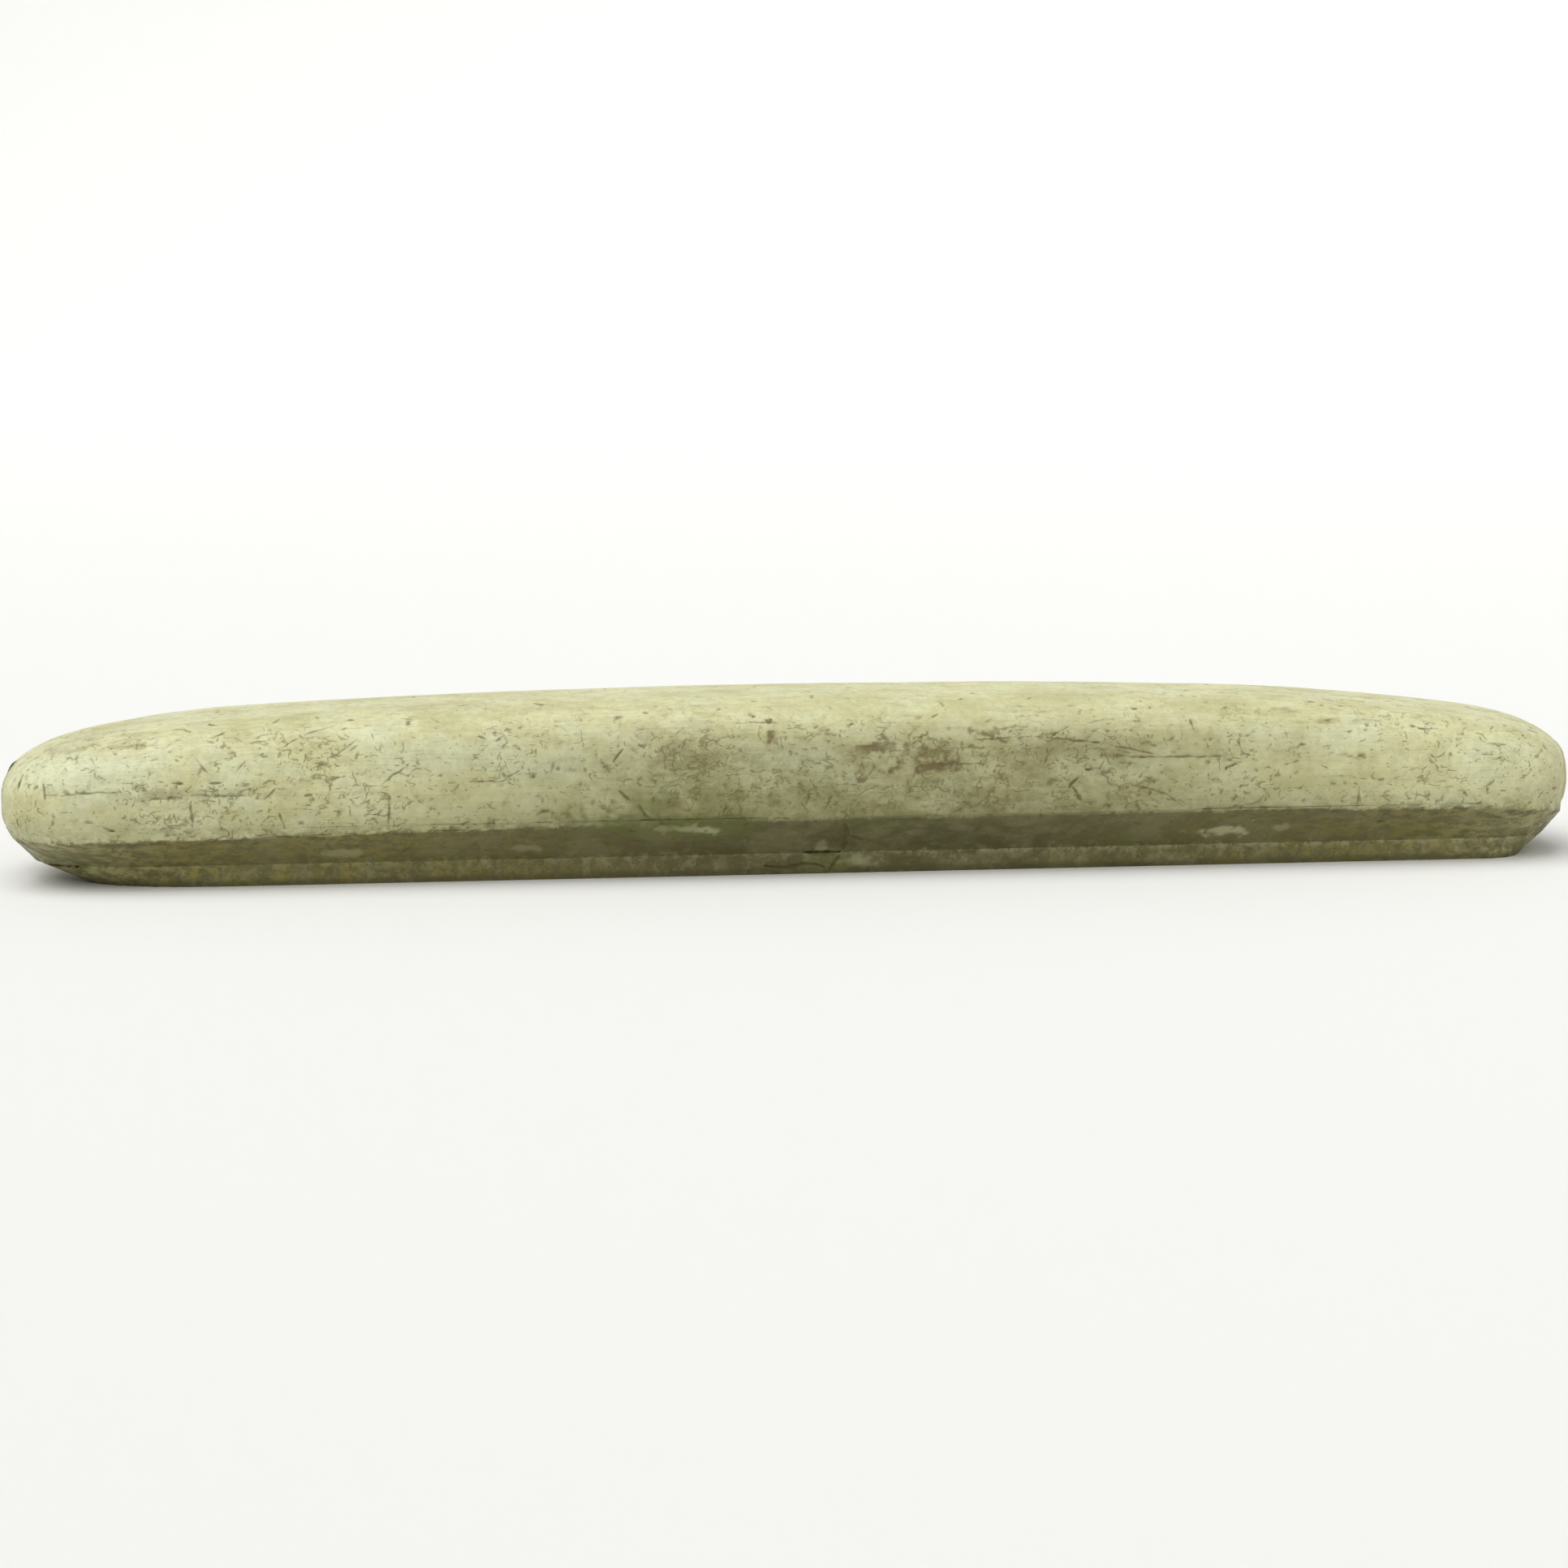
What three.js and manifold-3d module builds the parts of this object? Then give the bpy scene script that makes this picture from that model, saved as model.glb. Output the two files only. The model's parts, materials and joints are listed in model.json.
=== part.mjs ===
// A stout timber didgeridoo, lying flat on its sole, in millimetres with +Z up.
// Three timbers are glued on top of one another: a crowned upper shell with a deep channel, a chamfered
// lower shell with a shallow one, and a flat sole board. The two channels make the bore. Hidden dowels
// line the timbers up, and a turned mouthpiece plugs into the thinner end. +X points to the mouth, and
// the origin is on the ground under the middle of the overall length.
import * as THREE from "three";
import { mergeVertices } from "three/addons/utils/BufferGeometryUtils.js";
import Module from "manifold-3d";

const wasm = await Module();
wasm.setup();

// Overall sizes
const bodyLength = 1000; // between the tips of the domed ends, before the bore is cut
const bodyWidth = 130; // across the belly
const bodyHeight = 112.5; // ground to the top of the crown
const seamGap = 0.3; // clearance between glued faces

// Heights of the lines that run round the body
const soleThickness = 13.5;
const arrisHeight = 38; // the sharp edge between side and chamfer, where it is highest
const arrisMiddle = 125; // where that is, towards the mouth from the middle of the body
const arrisArch = 5; // how far it falls from there over half the body's length
const arrisBellDip = 1.5; // how much further it falls round each tip
const arrisMouthDip = 9;
const shellSeamHeight = 39.5;
const bellyHeight = 47; // the widest line, and the axis of the bore

// How far in from the belly each lower line stands
const seamTuck = 1.2;
const arrisSideInset = 2;
const arrisBellInset = 7;
const arrisMouthInset = 1.5;
const chamferSideInset = 20;
const chamferBellInset = 20;
const chamferMouthInset = 10;
const soleSideInset = 20.8;
const soleBellInset = 51;
const soleMouthInset = 28.5;

// The blunt ends in plan, and the squareness of ends and section
const endRun = 64;
const soleBellRun = 107;
const soleMouthRun = 31;
const endPower = 2.6;
const sectionPower = 3.5;

// The crown's long arch, and its steeper fall towards each tip
const crownArch = 16.5;
const bellTaperRun = 155;
const bellTaperDrop = 18;
const mouthTaperRun = 225;
const mouthTaperDrop = 14.5;

// The bore widens slowly from the mouth, then flares to the bell
const mouthBore = 34;
const flareBore = 44;
const bellBore = 54;
const flareLength = 200;

// The mouthpiece and its socket
const mouthHole = 30;
const neckWall = 2.8; // timber left under the cork
const corkThickness = 2.6;
const corkLength = 30;
const spigotLength = 46;
const capLip = 3.6; // how far the cap reaches past the spigot all round
const capDepth = 14; // seat of the cap to the mouth tip
const capEdge = 6; // straight part of the cap's rim
const socketClearance = 0.6;
const capClearance = 0.4;
const socketRelief = 4; // free depth past the end of the spigot
const waxWidth = 5.5;
const waxSeat = 4; // depth of its rebate below the mouth tip
const waxProud = 2; // how far its crest stands out past the timber

// The dowels: pairs between the two shells, and single ones between the lower shell and the sole
const dowelDiameter = 10;
const dowelSpacing = 330;
const dowelRows = 3;
const shellDowelEdge = 20; // from the belly's side to the dowel's middle
const shellDowelReach = 11; // how far it goes down into the lower shell
const shellDowelRise = 25; // how far it goes up into the upper shell
const soleDowelReach = 8; // down into the sole
const soleDowelRise = 6.5; // up into the lower shell

// Places worked out from the sizes
const bellRimShare = (1 - (bellBore / bodyWidth) ** endPower) ** (1 / endPower);
const bellRimLoss = endRun * (1 - bellRimShare); // what the bore takes off the domed bell tip
const overallLength = bodyLength - bellRimLoss + waxProud;
const bellTip = -overallLength / 2 - bellRimLoss;
const mouthTip = bellTip + bodyLength;
const crest = mouthTip + waxProud;
const halfWidth = bodyWidth / 2;
const neckRadius = mouthHole / 2 + neckWall;
const spigotRadius = neckRadius + corkThickness;
const capRadius = spigotRadius + capLip;
const capSeat = mouthTip - capDepth;
const spigotEnd = capSeat - spigotLength;
const socketEnd = spigotEnd - socketRelief;
const overrun = 10; // how far a cutter reaches past what it cuts

// Mesh fineness
const columns = 96;
const crownRows = 14;
const sideRows = 3;
const boreSides = 48;
const turnedSides = 48;
const dowelSides = 24;

// ---------- solids ----------

// A closed geometry as a solid: shared corners are merged and triangles with no area are left out.
function solidOf(geometry) {
  const bare = geometry.clone();
  bare.deleteAttribute("normal");
  bare.deleteAttribute("uv");
  const merged = mergeVertices(bare, 1e-4);
  const corners = merged.index.array;
  const kept = [];
  for (let i = 0; i < corners.length; i += 3) {
    const [a, b, c] = corners.slice(i, i + 3);
    if (a !== b && b !== c && c !== a) kept.push(a, b, c);
  }
  const vertProperties = new Float32Array(merged.getAttribute("position").array);
  return new wasm.Manifold(new wasm.Mesh({ numProp: 3, vertProperties, triVerts: new Uint32Array(kept) }));
}

function geometryOf(solid) {
  const mesh = solid.getMesh();
  const geometry = new THREE.BufferGeometry();
  geometry.setAttribute("position", new THREE.BufferAttribute(mesh.vertProperties, 3));
  geometry.setIndex(new THREE.BufferAttribute(mesh.triVerts, 1));
  geometry.computeVertexNormals();
  return geometry;
}

// A profile of [along, radius] points turned round the bore's axis.
function turned(profile, sides) {
  const points = profile.map(([along, radius]) => new THREE.Vector2(radius, along));
  const geometry = new THREE.LatheGeometry(points, sides);
  geometry.rotateZ(-Math.PI / 2);
  geometry.translate(0, 0, bellyHeight);
  return solidOf(geometry);
}

// An upright round bar between two heights.
function uprightBar(x, y, diameter, bottom, top) {
  const geometry = new THREE.CylinderGeometry(diameter / 2, diameter / 2, top - bottom, dowelSides);
  geometry.rotateX(Math.PI / 2);
  geometry.translate(x, y, (bottom + top) / 2);
  return solidOf(geometry);
}

// ---------- plan rings ----------

// One plan outline: straight sides, and superelliptic ends that run back to the centre line.
function outline({ bellInset, mouthInset, sideInset, bellRun = endRun, mouthRun = endRun }) {
  const exponent = 2 / endPower;
  return (turn) => {
    const away = Math.abs(turn);
    const hand = Math.sign(turn);
    const width = halfWidth - sideInset;
    const bellSpine = bellTip + bellInset + bellRun;
    const mouthSpine = mouthTip - mouthInset - mouthRun;
    if (away > Math.PI / 4 && away < (3 * Math.PI) / 4) {
      const spine = THREE.MathUtils.mapLinear(away, Math.PI / 4, (3 * Math.PI) / 4, mouthSpine, bellSpine);
      return { spine, reach: 0, y: hand * width, endness: 0 };
    }
    const atMouth = away <= Math.PI / 4;
    const swing = 2 * (atMouth ? away : Math.PI - away);
    const cosine = Math.max(Math.cos(swing), 0);
    return {
      spine: atMouth ? mouthSpine : bellSpine,
      reach: (atMouth ? mouthRun : -bellRun) * cosine ** exponent,
      y: hand * width * Math.sin(swing) ** exponent,
      endness: cosine ** 2,
    };
  };
}

const bellyOutline = outline({ bellInset: 0, mouthInset: 0, sideInset: 0 });
const seamOutline = outline({ bellInset: seamTuck, mouthInset: seamTuck, sideInset: seamTuck });
const arrisOutline = outline({
  bellInset: arrisBellInset,
  mouthInset: arrisMouthInset,
  sideInset: arrisSideInset,
});
const chamferOutline = outline({
  bellInset: chamferBellInset,
  mouthInset: chamferMouthInset,
  sideInset: chamferSideInset,
  bellRun: soleBellRun,
});
const soleOutline = outline({
  bellInset: soleBellInset,
  mouthInset: soleMouthInset,
  sideInset: soleSideInset,
  bellRun: soleBellRun,
  mouthRun: soleMouthRun,
});

// A ring is a function from the turn round the plan to a point. `share` pulls it in to the spine.
function ring(plan, height, share = 1) {
  return (turn) => {
    const { spine, reach, y, endness } = plan(turn);
    const x = spine + share * reach;
    return [x, share * y, typeof height === "function" ? height(x, endness) : height];
  };
}

// A closed solid through a stack of rings, whose first and last lie on the spine.
function stacked(rings) {
  const steps = rings.length - 1;
  const geometry = new THREE.CylinderGeometry(1, 1, steps, columns, steps, true);
  geometry.rotateX(Math.PI / 2);
  const position = geometry.getAttribute("position");
  for (let i = 0; i < position.count; i++) {
    const turn = Math.atan2(position.getY(i), position.getX(i));
    const row = Math.round(position.getZ(i) + steps / 2);
    position.setXYZ(i, ...rings[row](turn));
  }
  return solidOf(geometry);
}

// Height of the crown's ridge along the body.
function ridge(x) {
  const arch = x / (bodyLength / 2);
  const toBell = Math.max(0, (bellTip + bellTaperRun - x) / bellTaperRun);
  const toMouth = Math.max(0, (x - mouthTip + mouthTaperRun) / mouthTaperRun);
  return bodyHeight - crownArch * arch ** 2 - bellTaperDrop * toBell ** 2 - mouthTaperDrop * toMouth ** 2;
}

// Height of the arris: a long low arch, and a further dip round each tip.
function arris(x, endness) {
  const arch = (x - arrisMiddle) / (bodyLength / 2);
  const dip = x > 0 ? arrisMouthDip : arrisBellDip;
  return arrisHeight - arrisArch * arch ** 2 - dip * endness;
}

// ---------- cutters ----------

function boreCutter() {
  const bellEnd = bellTip - overrun;
  const flareSlope = (bellBore - flareBore) / flareLength;
  const openRadius = (bellBore + flareSlope * overrun) / 2;
  const inner = socketEnd + overrun;
  return turned(
    [
      [bellEnd, 0],
      [bellEnd, openRadius],
      [bellTip + flareLength, flareBore / 2],
      [inner, mouthBore / 2],
      [inner, 0],
    ],
    boreSides,
  );
}

function socketCutter() {
  const socketRadius = spigotRadius + socketClearance;
  const recessRadius = capRadius + capClearance;
  return turned(
    [
      [socketEnd, 0],
      [socketEnd, socketRadius],
      [capSeat - seamGap, socketRadius],
      [capSeat - seamGap, recessRadius],
      [crest + overrun, recessRadius],
      [crest + overrun, 0],
    ],
    boreSides,
  );
}

const dowels = [];
for (let row = 0; row < dowelRows; row++) {
  const x = (row - (dowelRows - 1) / 2) * dowelSpacing;
  const bottom = shellSeamHeight - shellDowelReach;
  const top = shellSeamHeight + shellDowelRise;
  for (const hand of [-1, 1]) {
    const name = `shell_dowel_${dowels.length + 1}`;
    dowels.push({ name, x, y: hand * (halfWidth - shellDowelEdge), bottom, top });
  }
}
for (let row = 0; row < dowelRows; row++) {
  const x = (row - (dowelRows - 1) / 2) * dowelSpacing;
  const bottom = soleThickness - soleDowelReach;
  const top = soleThickness + soleDowelRise;
  dowels.push({ name: `sole_dowel_${row + 1}`, x, y: 0, bottom, top });
}

// Cuts the bore, the socket and the dowel holes out of one of the three timbers.
function hollowed(timber) {
  let left = timber.subtract(boreCutter()).subtract(socketCutter());
  for (const { x, y, bottom, top } of dowels) {
    left = left.subtract(uprightBar(x, y, dowelDiameter + 2 * seamGap, bottom - seamGap, top + seamGap));
  }
  return left;
}

// ---------- the pieces ----------

function soleBoard() {
  const top = soleThickness - seamGap / 2;
  return hollowed(
    stacked([
      ring(soleOutline, 0, 0),
      ring(soleOutline, 0),
      ring(chamferOutline, top),
      ring(chamferOutline, top, 0),
    ]),
  );
}

function lowerShell() {
  const bottom = soleThickness + seamGap / 2;
  const top = shellSeamHeight - seamGap / 2;
  return hollowed(
    stacked([
      ring(chamferOutline, bottom, 0),
      ring(chamferOutline, bottom),
      ring(arrisOutline, arris),
      ring(seamOutline, top),
      ring(seamOutline, top, 0),
    ]),
  );
}

function upperShell() {
  const bottom = shellSeamHeight + seamGap / 2;
  const rings = [ring(seamOutline, bottom, 0), ring(seamOutline, bottom)];
  for (let row = 1; row < sideRows; row++) {
    const rise = row / sideRows;
    const tuck = seamTuck * (1 - rise) ** 2;
    const plan = outline({ bellInset: tuck, mouthInset: tuck, sideInset: tuck });
    rings.push(ring(plan, THREE.MathUtils.lerp(bottom, bellyHeight, rise)));
  }
  for (let row = 0; row <= crownRows; row++) {
    const angle = ((Math.PI / 2) * row) / crownRows;
    const share = Math.max(Math.cos(angle), 0) ** (2 / sectionPower);
    const lift = row === crownRows ? 1 : Math.sin(angle) ** (2 / sectionPower);
    const height = (x) => bellyHeight + (ridge(x) - bellyHeight) * lift;
    rings.push(ring(bellyOutline, height, row === crownRows ? 0 : share));
  }
  return hollowed(stacked(rings));
}

// The turned mouthpiece: a hollow spigot with a necked stretch for the cork, and a domed cap.
function mouthpiece() {
  const holeRadius = mouthHole / 2;
  const corkStart = spigotEnd + (spigotLength - corkLength) / 2;
  const rebateRadius = holeRadius + waxWidth + seamGap;
  const rebateFloor = mouthTip - waxSeat;
  const profile = [
    [spigotEnd, holeRadius],
    [spigotEnd, spigotRadius],
    [corkStart, spigotRadius],
    [corkStart, neckRadius],
    [corkStart + corkLength, neckRadius],
    [corkStart + corkLength, spigotRadius],
    [capSeat, spigotRadius],
    [capSeat, capRadius],
  ];
  const domeSteps = 6;
  for (let step = 0; step <= domeSteps; step++) {
    const angle = ((Math.PI / 2) * step) / domeSteps;
    const along = capSeat + capEdge + (capDepth - capEdge) * Math.sin(angle);
    profile.push([along, rebateRadius + (capRadius - rebateRadius) * Math.cos(angle)]);
  }
  profile.push([rebateFloor, rebateRadius], [rebateFloor, holeRadius], [spigotEnd, holeRadius]);
  return turned(profile, turnedSides);
}

function corkSleeve() {
  const outer = spigotRadius + socketClearance / 2;
  const inner = neckRadius + seamGap;
  const start = spigotEnd + (spigotLength - corkLength) / 2 + seamGap;
  const end = start + corkLength - 2 * seamGap;
  return turned([[start, inner], [start, outer], [end, outer], [end, inner], [start, inner]], turnedSides);
}

// A ring of beeswax with a rounded crest for the lips.
function waxRim() {
  const inner = mouthHole / 2;
  const crestRadius = waxWidth / 2;
  const floor = mouthTip - waxSeat + seamGap;
  const profile = [[floor, inner], [floor, inner + waxWidth]];
  const arcSteps = 8;
  for (let step = 0; step <= arcSteps; step++) {
    const angle = (Math.PI * step) / arcSteps;
    const along = crest - crestRadius + crestRadius * Math.sin(angle);
    profile.push([along, inner + crestRadius + crestRadius * Math.cos(angle)]);
  }
  profile.push([floor, inner]);
  return turned(profile, turnedSides);
}

// ---------- the model ----------

const paleTimber = { color: 0xc8c59b, roughness: 0.45, metalness: 0 };
const shadedTimber = { color: 0x8c8762, roughness: 0.55, metalness: 0 };
const soleTimber = { color: 0x9a946c, roughness: 0.6, metalness: 0 };
const dowelTimber = { color: 0xc9a571, roughness: 0.6, metalness: 0 };
const turnedTimber = { color: 0xb9ae7f, roughness: 0.4, metalness: 0 };
const cork = { color: 0xa9774a, roughness: 0.85, metalness: 0 };
const beeswax = { color: 0xb98a3c, roughness: 0.35, metalness: 0 };

const didgeridoo = new THREE.Group();

function addPiece(name, solid, look) {
  const mesh = new THREE.Mesh(geometryOf(solid), new THREE.MeshStandardMaterial(look));
  mesh.name = name;
  didgeridoo.add(mesh);
}

addPiece("upper_shell", upperShell(), paleTimber);
addPiece("lower_shell", lowerShell(), shadedTimber);
addPiece("sole_board", soleBoard(), soleTimber);
addPiece("mouthpiece", mouthpiece(), turnedTimber);
addPiece("cork_sleeve", corkSleeve(), cork);
addPiece("wax_rim", waxRim(), beeswax);
for (const { name, x, y, bottom, top } of dowels) {
  addPiece(name, uprightBar(x, y, dowelDiameter, bottom, top), dowelTimber);
}

export default didgeridoo;
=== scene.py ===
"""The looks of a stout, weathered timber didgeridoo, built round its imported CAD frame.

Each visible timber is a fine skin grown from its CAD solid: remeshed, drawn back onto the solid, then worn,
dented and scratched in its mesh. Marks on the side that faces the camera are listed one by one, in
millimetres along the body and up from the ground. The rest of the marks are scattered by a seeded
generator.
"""

import itertools
import json
import math

import bmesh
import bpy
import numpy as np
from mathutils import Euler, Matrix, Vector
from mathutils.bvhtree import BVHTree
from mathutils.kdtree import KDTree


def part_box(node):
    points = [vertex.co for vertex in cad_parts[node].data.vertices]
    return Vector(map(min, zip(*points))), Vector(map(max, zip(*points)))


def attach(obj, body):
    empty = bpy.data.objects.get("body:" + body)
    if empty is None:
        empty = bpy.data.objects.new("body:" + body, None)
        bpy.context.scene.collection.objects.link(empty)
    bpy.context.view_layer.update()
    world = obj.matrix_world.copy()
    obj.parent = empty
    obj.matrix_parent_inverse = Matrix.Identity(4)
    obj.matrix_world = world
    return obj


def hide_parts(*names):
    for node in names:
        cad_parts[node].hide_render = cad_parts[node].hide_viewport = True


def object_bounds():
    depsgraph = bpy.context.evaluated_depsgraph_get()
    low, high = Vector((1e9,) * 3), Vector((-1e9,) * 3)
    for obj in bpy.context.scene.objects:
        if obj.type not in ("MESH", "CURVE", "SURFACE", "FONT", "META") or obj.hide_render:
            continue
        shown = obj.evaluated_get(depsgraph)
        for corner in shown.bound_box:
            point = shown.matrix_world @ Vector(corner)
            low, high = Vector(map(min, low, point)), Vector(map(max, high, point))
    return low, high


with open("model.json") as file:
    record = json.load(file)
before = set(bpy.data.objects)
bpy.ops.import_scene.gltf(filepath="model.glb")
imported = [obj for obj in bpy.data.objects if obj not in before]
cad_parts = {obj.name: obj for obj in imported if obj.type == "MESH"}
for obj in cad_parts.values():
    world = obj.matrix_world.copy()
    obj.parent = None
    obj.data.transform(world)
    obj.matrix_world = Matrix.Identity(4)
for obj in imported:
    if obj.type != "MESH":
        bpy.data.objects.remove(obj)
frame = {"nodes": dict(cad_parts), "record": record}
cad_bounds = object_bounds()

MM = 0.001
TIMBERS = ("upper_shell", "lower_shell", "sole_board")

# Camera
CAMERA_YAW = math.radians(7.2)  # how far it stands towards the bell from square on
CAMERA_RISE = math.radians(9.1)
CAMERA_DISTANCE = 2.61
CAMERA_FILL = 1929 / 1932  # share of the picture's width that the object spans
SENSOR_WIDTH = 36
AIM_ROUNDS = 4

# Skins
TIMBER_VOXEL = 2.3 * MM
ARRIS_VOXEL = 1.7 * MM  # finer, as the lower shell's arris runs close to its seam
TURNED_VOXEL = 0.75 * MM
SHARP_ANGLE = math.radians(25)
WEDGE_ANGLE = math.radians(100)  # an edge that turns further than this loses its tip in the remesh
CREASE_ANGLE = math.radians(50)  # seen as an edge in the finished skin
RANDOM_SEED = 41
GLUE_LINE = 0.01 * MM
EDGE_SPACING = 0.5 * MM  # between the points that stand for a sharp edge
EDGE_REACH = 0.72  # voxels from which a point is drawn onto a sharp edge
WEDGE_REACH = 1.15  # the same for the edge of a thin wedge
SMOOTHING = (0.5, -0.52)  # in turn, so that the shape doesn't shrink
SMOOTHING_ROUNDS = 14
MARK_MARGIN = 1.6 * MM  # round a mark, where the mesh is finer
FINE_MARGIN = 1.0 * MM  # the same for the second refinement, round a placed mark


# ---------- noise ----------

def lattice(cells, seed):
    """A repeatable number from 0 to 1 for each whole-numbered cell."""
    mixed = cells[:, 0] * 73856093 ^ cells[:, 1] * 19349663 ^ cells[:, 2] * 83492791 ^ (seed * 40503)
    mixed = (mixed ^ (mixed >> 13)) * 1274126177
    return ((mixed ^ (mixed >> 16)) & 0xFFFFFF) / 0xFFFFFF


SKEW = np.array(Euler((0.7, 0.5, 0.6)).to_matrix())  # keeps the noise's grain out of line with the body


def noise(points, size, seed):
    """Smooth noise from -1 to 1 with features about `size` across, a length or one for each axis."""
    place = points @ SKEW / size if np.isscalar(size) else points / size
    cell = np.floor(place).astype(np.int64)
    part = place - cell
    part = part * part * (3 - 2 * part)
    total = np.zeros(len(points))
    for corner in itertools.product((0, 1), repeat=3):
        weight = np.prod(np.where(corner, part, 1 - part), axis=1)
        total += weight * lattice(cell + corner, seed)
    return 2 * total - 1


def smoothstep(low, high, value):
    share = np.clip((value - low) / (high - low), 0, 1)
    return share * share * (3 - 2 * share)


# ---------- the CAD solids as surfaces to follow ----------

def merged_solid(node):
    """The CAD node's mesh with its shared corners merged."""
    solid = bmesh.new()
    solid.from_mesh(frame["nodes"][node].data)
    bmesh.ops.remove_doubles(solid, verts=solid.verts, dist=0.002 * MM)
    return solid


def combined_surface(nodes):
    """One searchable surface of several nodes."""
    corners = []
    triangles = []
    for node in nodes:
        solid = merged_solid(node)
        bmesh.ops.triangulate(solid, faces=solid.faces)
        start = len(corners)
        corners += [vert.co.copy() for vert in solid.verts]
        triangles += [[start + vert.index for vert in face.verts] for face in solid.faces]
        solid.free()
    return BVHTree.FromPolygons(corners, triangles)


def tree_of(points):
    """The points, ready to search."""
    tree = KDTree(len(points))
    for index, point in enumerate(points):
        tree.insert(point, index)
    tree.balance()
    return tree


def points_along(edge, spacing):
    start, end = (vert.co for vert in edge.verts)
    steps = max(1, math.ceil((end - start).length / spacing))
    return [start.lerp(end, step / steps) for step in range(steps + 1)]


def sharp_lines(solid):
    """Points along the solid's sharp edges, and for each one whether its edge is a thin wedge."""
    points = []
    thin = []
    for edge in solid.edges:
        angle = edge.calc_face_angle()
        if angle > SHARP_ANGLE:
            found = points_along(edge, EDGE_SPACING)
            points += found
            thin += [edge.is_convex and angle > WEDGE_ANGLE] * len(found)
    return tree_of(points), thin


body_surface = combined_surface(TIMBERS)
body_low, body_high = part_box("upper_shell")
sole_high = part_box("sole_board")[1]
lower_low, lower_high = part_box("lower_shell")
hole_low, hole_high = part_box("cork_sleeve")
HALF_WIDTH = body_high.y
BORE_HEIGHT = (hole_low.z + hole_high.z) / 2
SEAM_HEIGHT = (lower_high.z + body_low.z) / 2
SOLE_SEAM_HEIGHT = (sole_high.z + lower_low.z) / 2


# ---------- camera ----------

def make_camera():
    """A camera without roll, whose aim and lens make the object fill the middle of the picture."""
    low, high = (Vector(corner) for corner in cad_bounds)
    aim = (low + high) / 2
    away = Vector((
        -math.sin(CAMERA_YAW) * math.cos(CAMERA_RISE),
        -math.cos(CAMERA_YAW) * math.cos(CAMERA_RISE),
        math.sin(CAMERA_RISE),
    ))
    place = aim + CAMERA_DISTANCE * away
    outer_nodes = (*TIMBERS, "mouthpiece", "wax_rim")
    shown = [vert.co for node in outer_nodes for vert in frame["nodes"][node].data.vertices]
    for _ in range(AIM_ROUNDS):
        turn = (aim - place).to_track_quat("-Z", "Y")
        seen = [turn.inverted() @ (point - place) for point in shown]
        across = [point.x / -point.z for point in seen]
        upward = [point.y / -point.z for point in seen]
        middle = Vector(((min(across) + max(across)) / 2, (min(upward) + max(upward)) / 2, -1))
        aim = place + turn @ (middle * CAMERA_DISTANCE)
    data = bpy.data.cameras.new("camera")
    data.sensor_width = SENSOR_WIDTH
    data.lens = SENSOR_WIDTH * CAMERA_FILL / (max(across) - min(across))
    camera = bpy.data.objects.new("camera", data)
    camera.location = place
    camera.rotation_euler = turn.to_euler()
    bpy.context.scene.collection.objects.link(camera)
    bpy.context.scene.camera = camera
    return place


sight_point = make_camera()


# ---------- marks ----------

class Mark:
    """A scratch, slit, crack or dent: a line on the surface, its width and depth, and how dark it is."""

    def __init__(self, points, width, depth, dark, placed=False):
        self.points = np.array(points, float)
        self.width = width
        self.depth = depth
        self.dark = dark
        self.placed = placed


def on_near_side(along, up):
    """The point of the surface seen from the front through a point of the near side's upright plane."""
    target = Vector((along * MM, -HALF_WIDTH, up * MM))
    hit = body_surface.ray_cast(sight_point, (target - sight_point).normalized())
    return hit[0]


def line_on_near_side(line, spacing=2.0):
    """A listed line in millimetres, laid on the surface with a point every `spacing` or so."""
    laid = []
    for (x0, z0), (x1, z1) in zip(line, line[1:]):
        steps = max(1, round(math.hypot(x1 - x0, z1 - z0) / spacing))
        for step in range(steps):
            share = step / steps
            laid.append(on_near_side(x0 + (x1 - x0) * share, z0 + (z1 - z0) * share))
    laid.append(on_near_side(*line[-1]))
    return [point for point in laid if point is not None]


# Long thin scratches
SCRATCHES = [
    [(-471, 62.5), (-423, 64)],
    [(-328, 87.5), (-321, 93.5), (-309, 99), (-292, 104)],
    [(-303, 78), (-280, 94.5)],
    [(-286, 86.5), (-280, 90.5)],
    [(-267, 65), (-249, 78.5)],
    [(-257, 73), (-250, 70)],
    [(-213, 66), (-192, 66.5), (-181, 73.5)],
    [(-341, 55), (-331, 64.5)],
    [(69, 72), (108, 71)],
    [(97, 87), (148, 87.5)],
    [(143, 87.5), (186, 82.5), (213, 76), (225, 73)],
    [(150, 87), (163, 94)],
    [(175, 75.5), (209, 73.5), (265, 73)],
    [(-48, 100), (-20, 99.5)],
    [(205, 55.5), (226, 49.5), (236, 41.5)],
    [(-349, 82), (-355, 75)],
    [(-380, 84), (-370, 72)],
    [(-373, 95.5), (-361, 100)],
    [(71, 99), (80, 104)],
    [(69, 89), (76, 92.5)],
    [(301, 67), (311, 70)],
    [(268, 88), (274, 75), (281, 72.5)],
    [(212, 61), (218, 56.5)],
    [(-124, 77), (-117, 85.5)],
]

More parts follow.
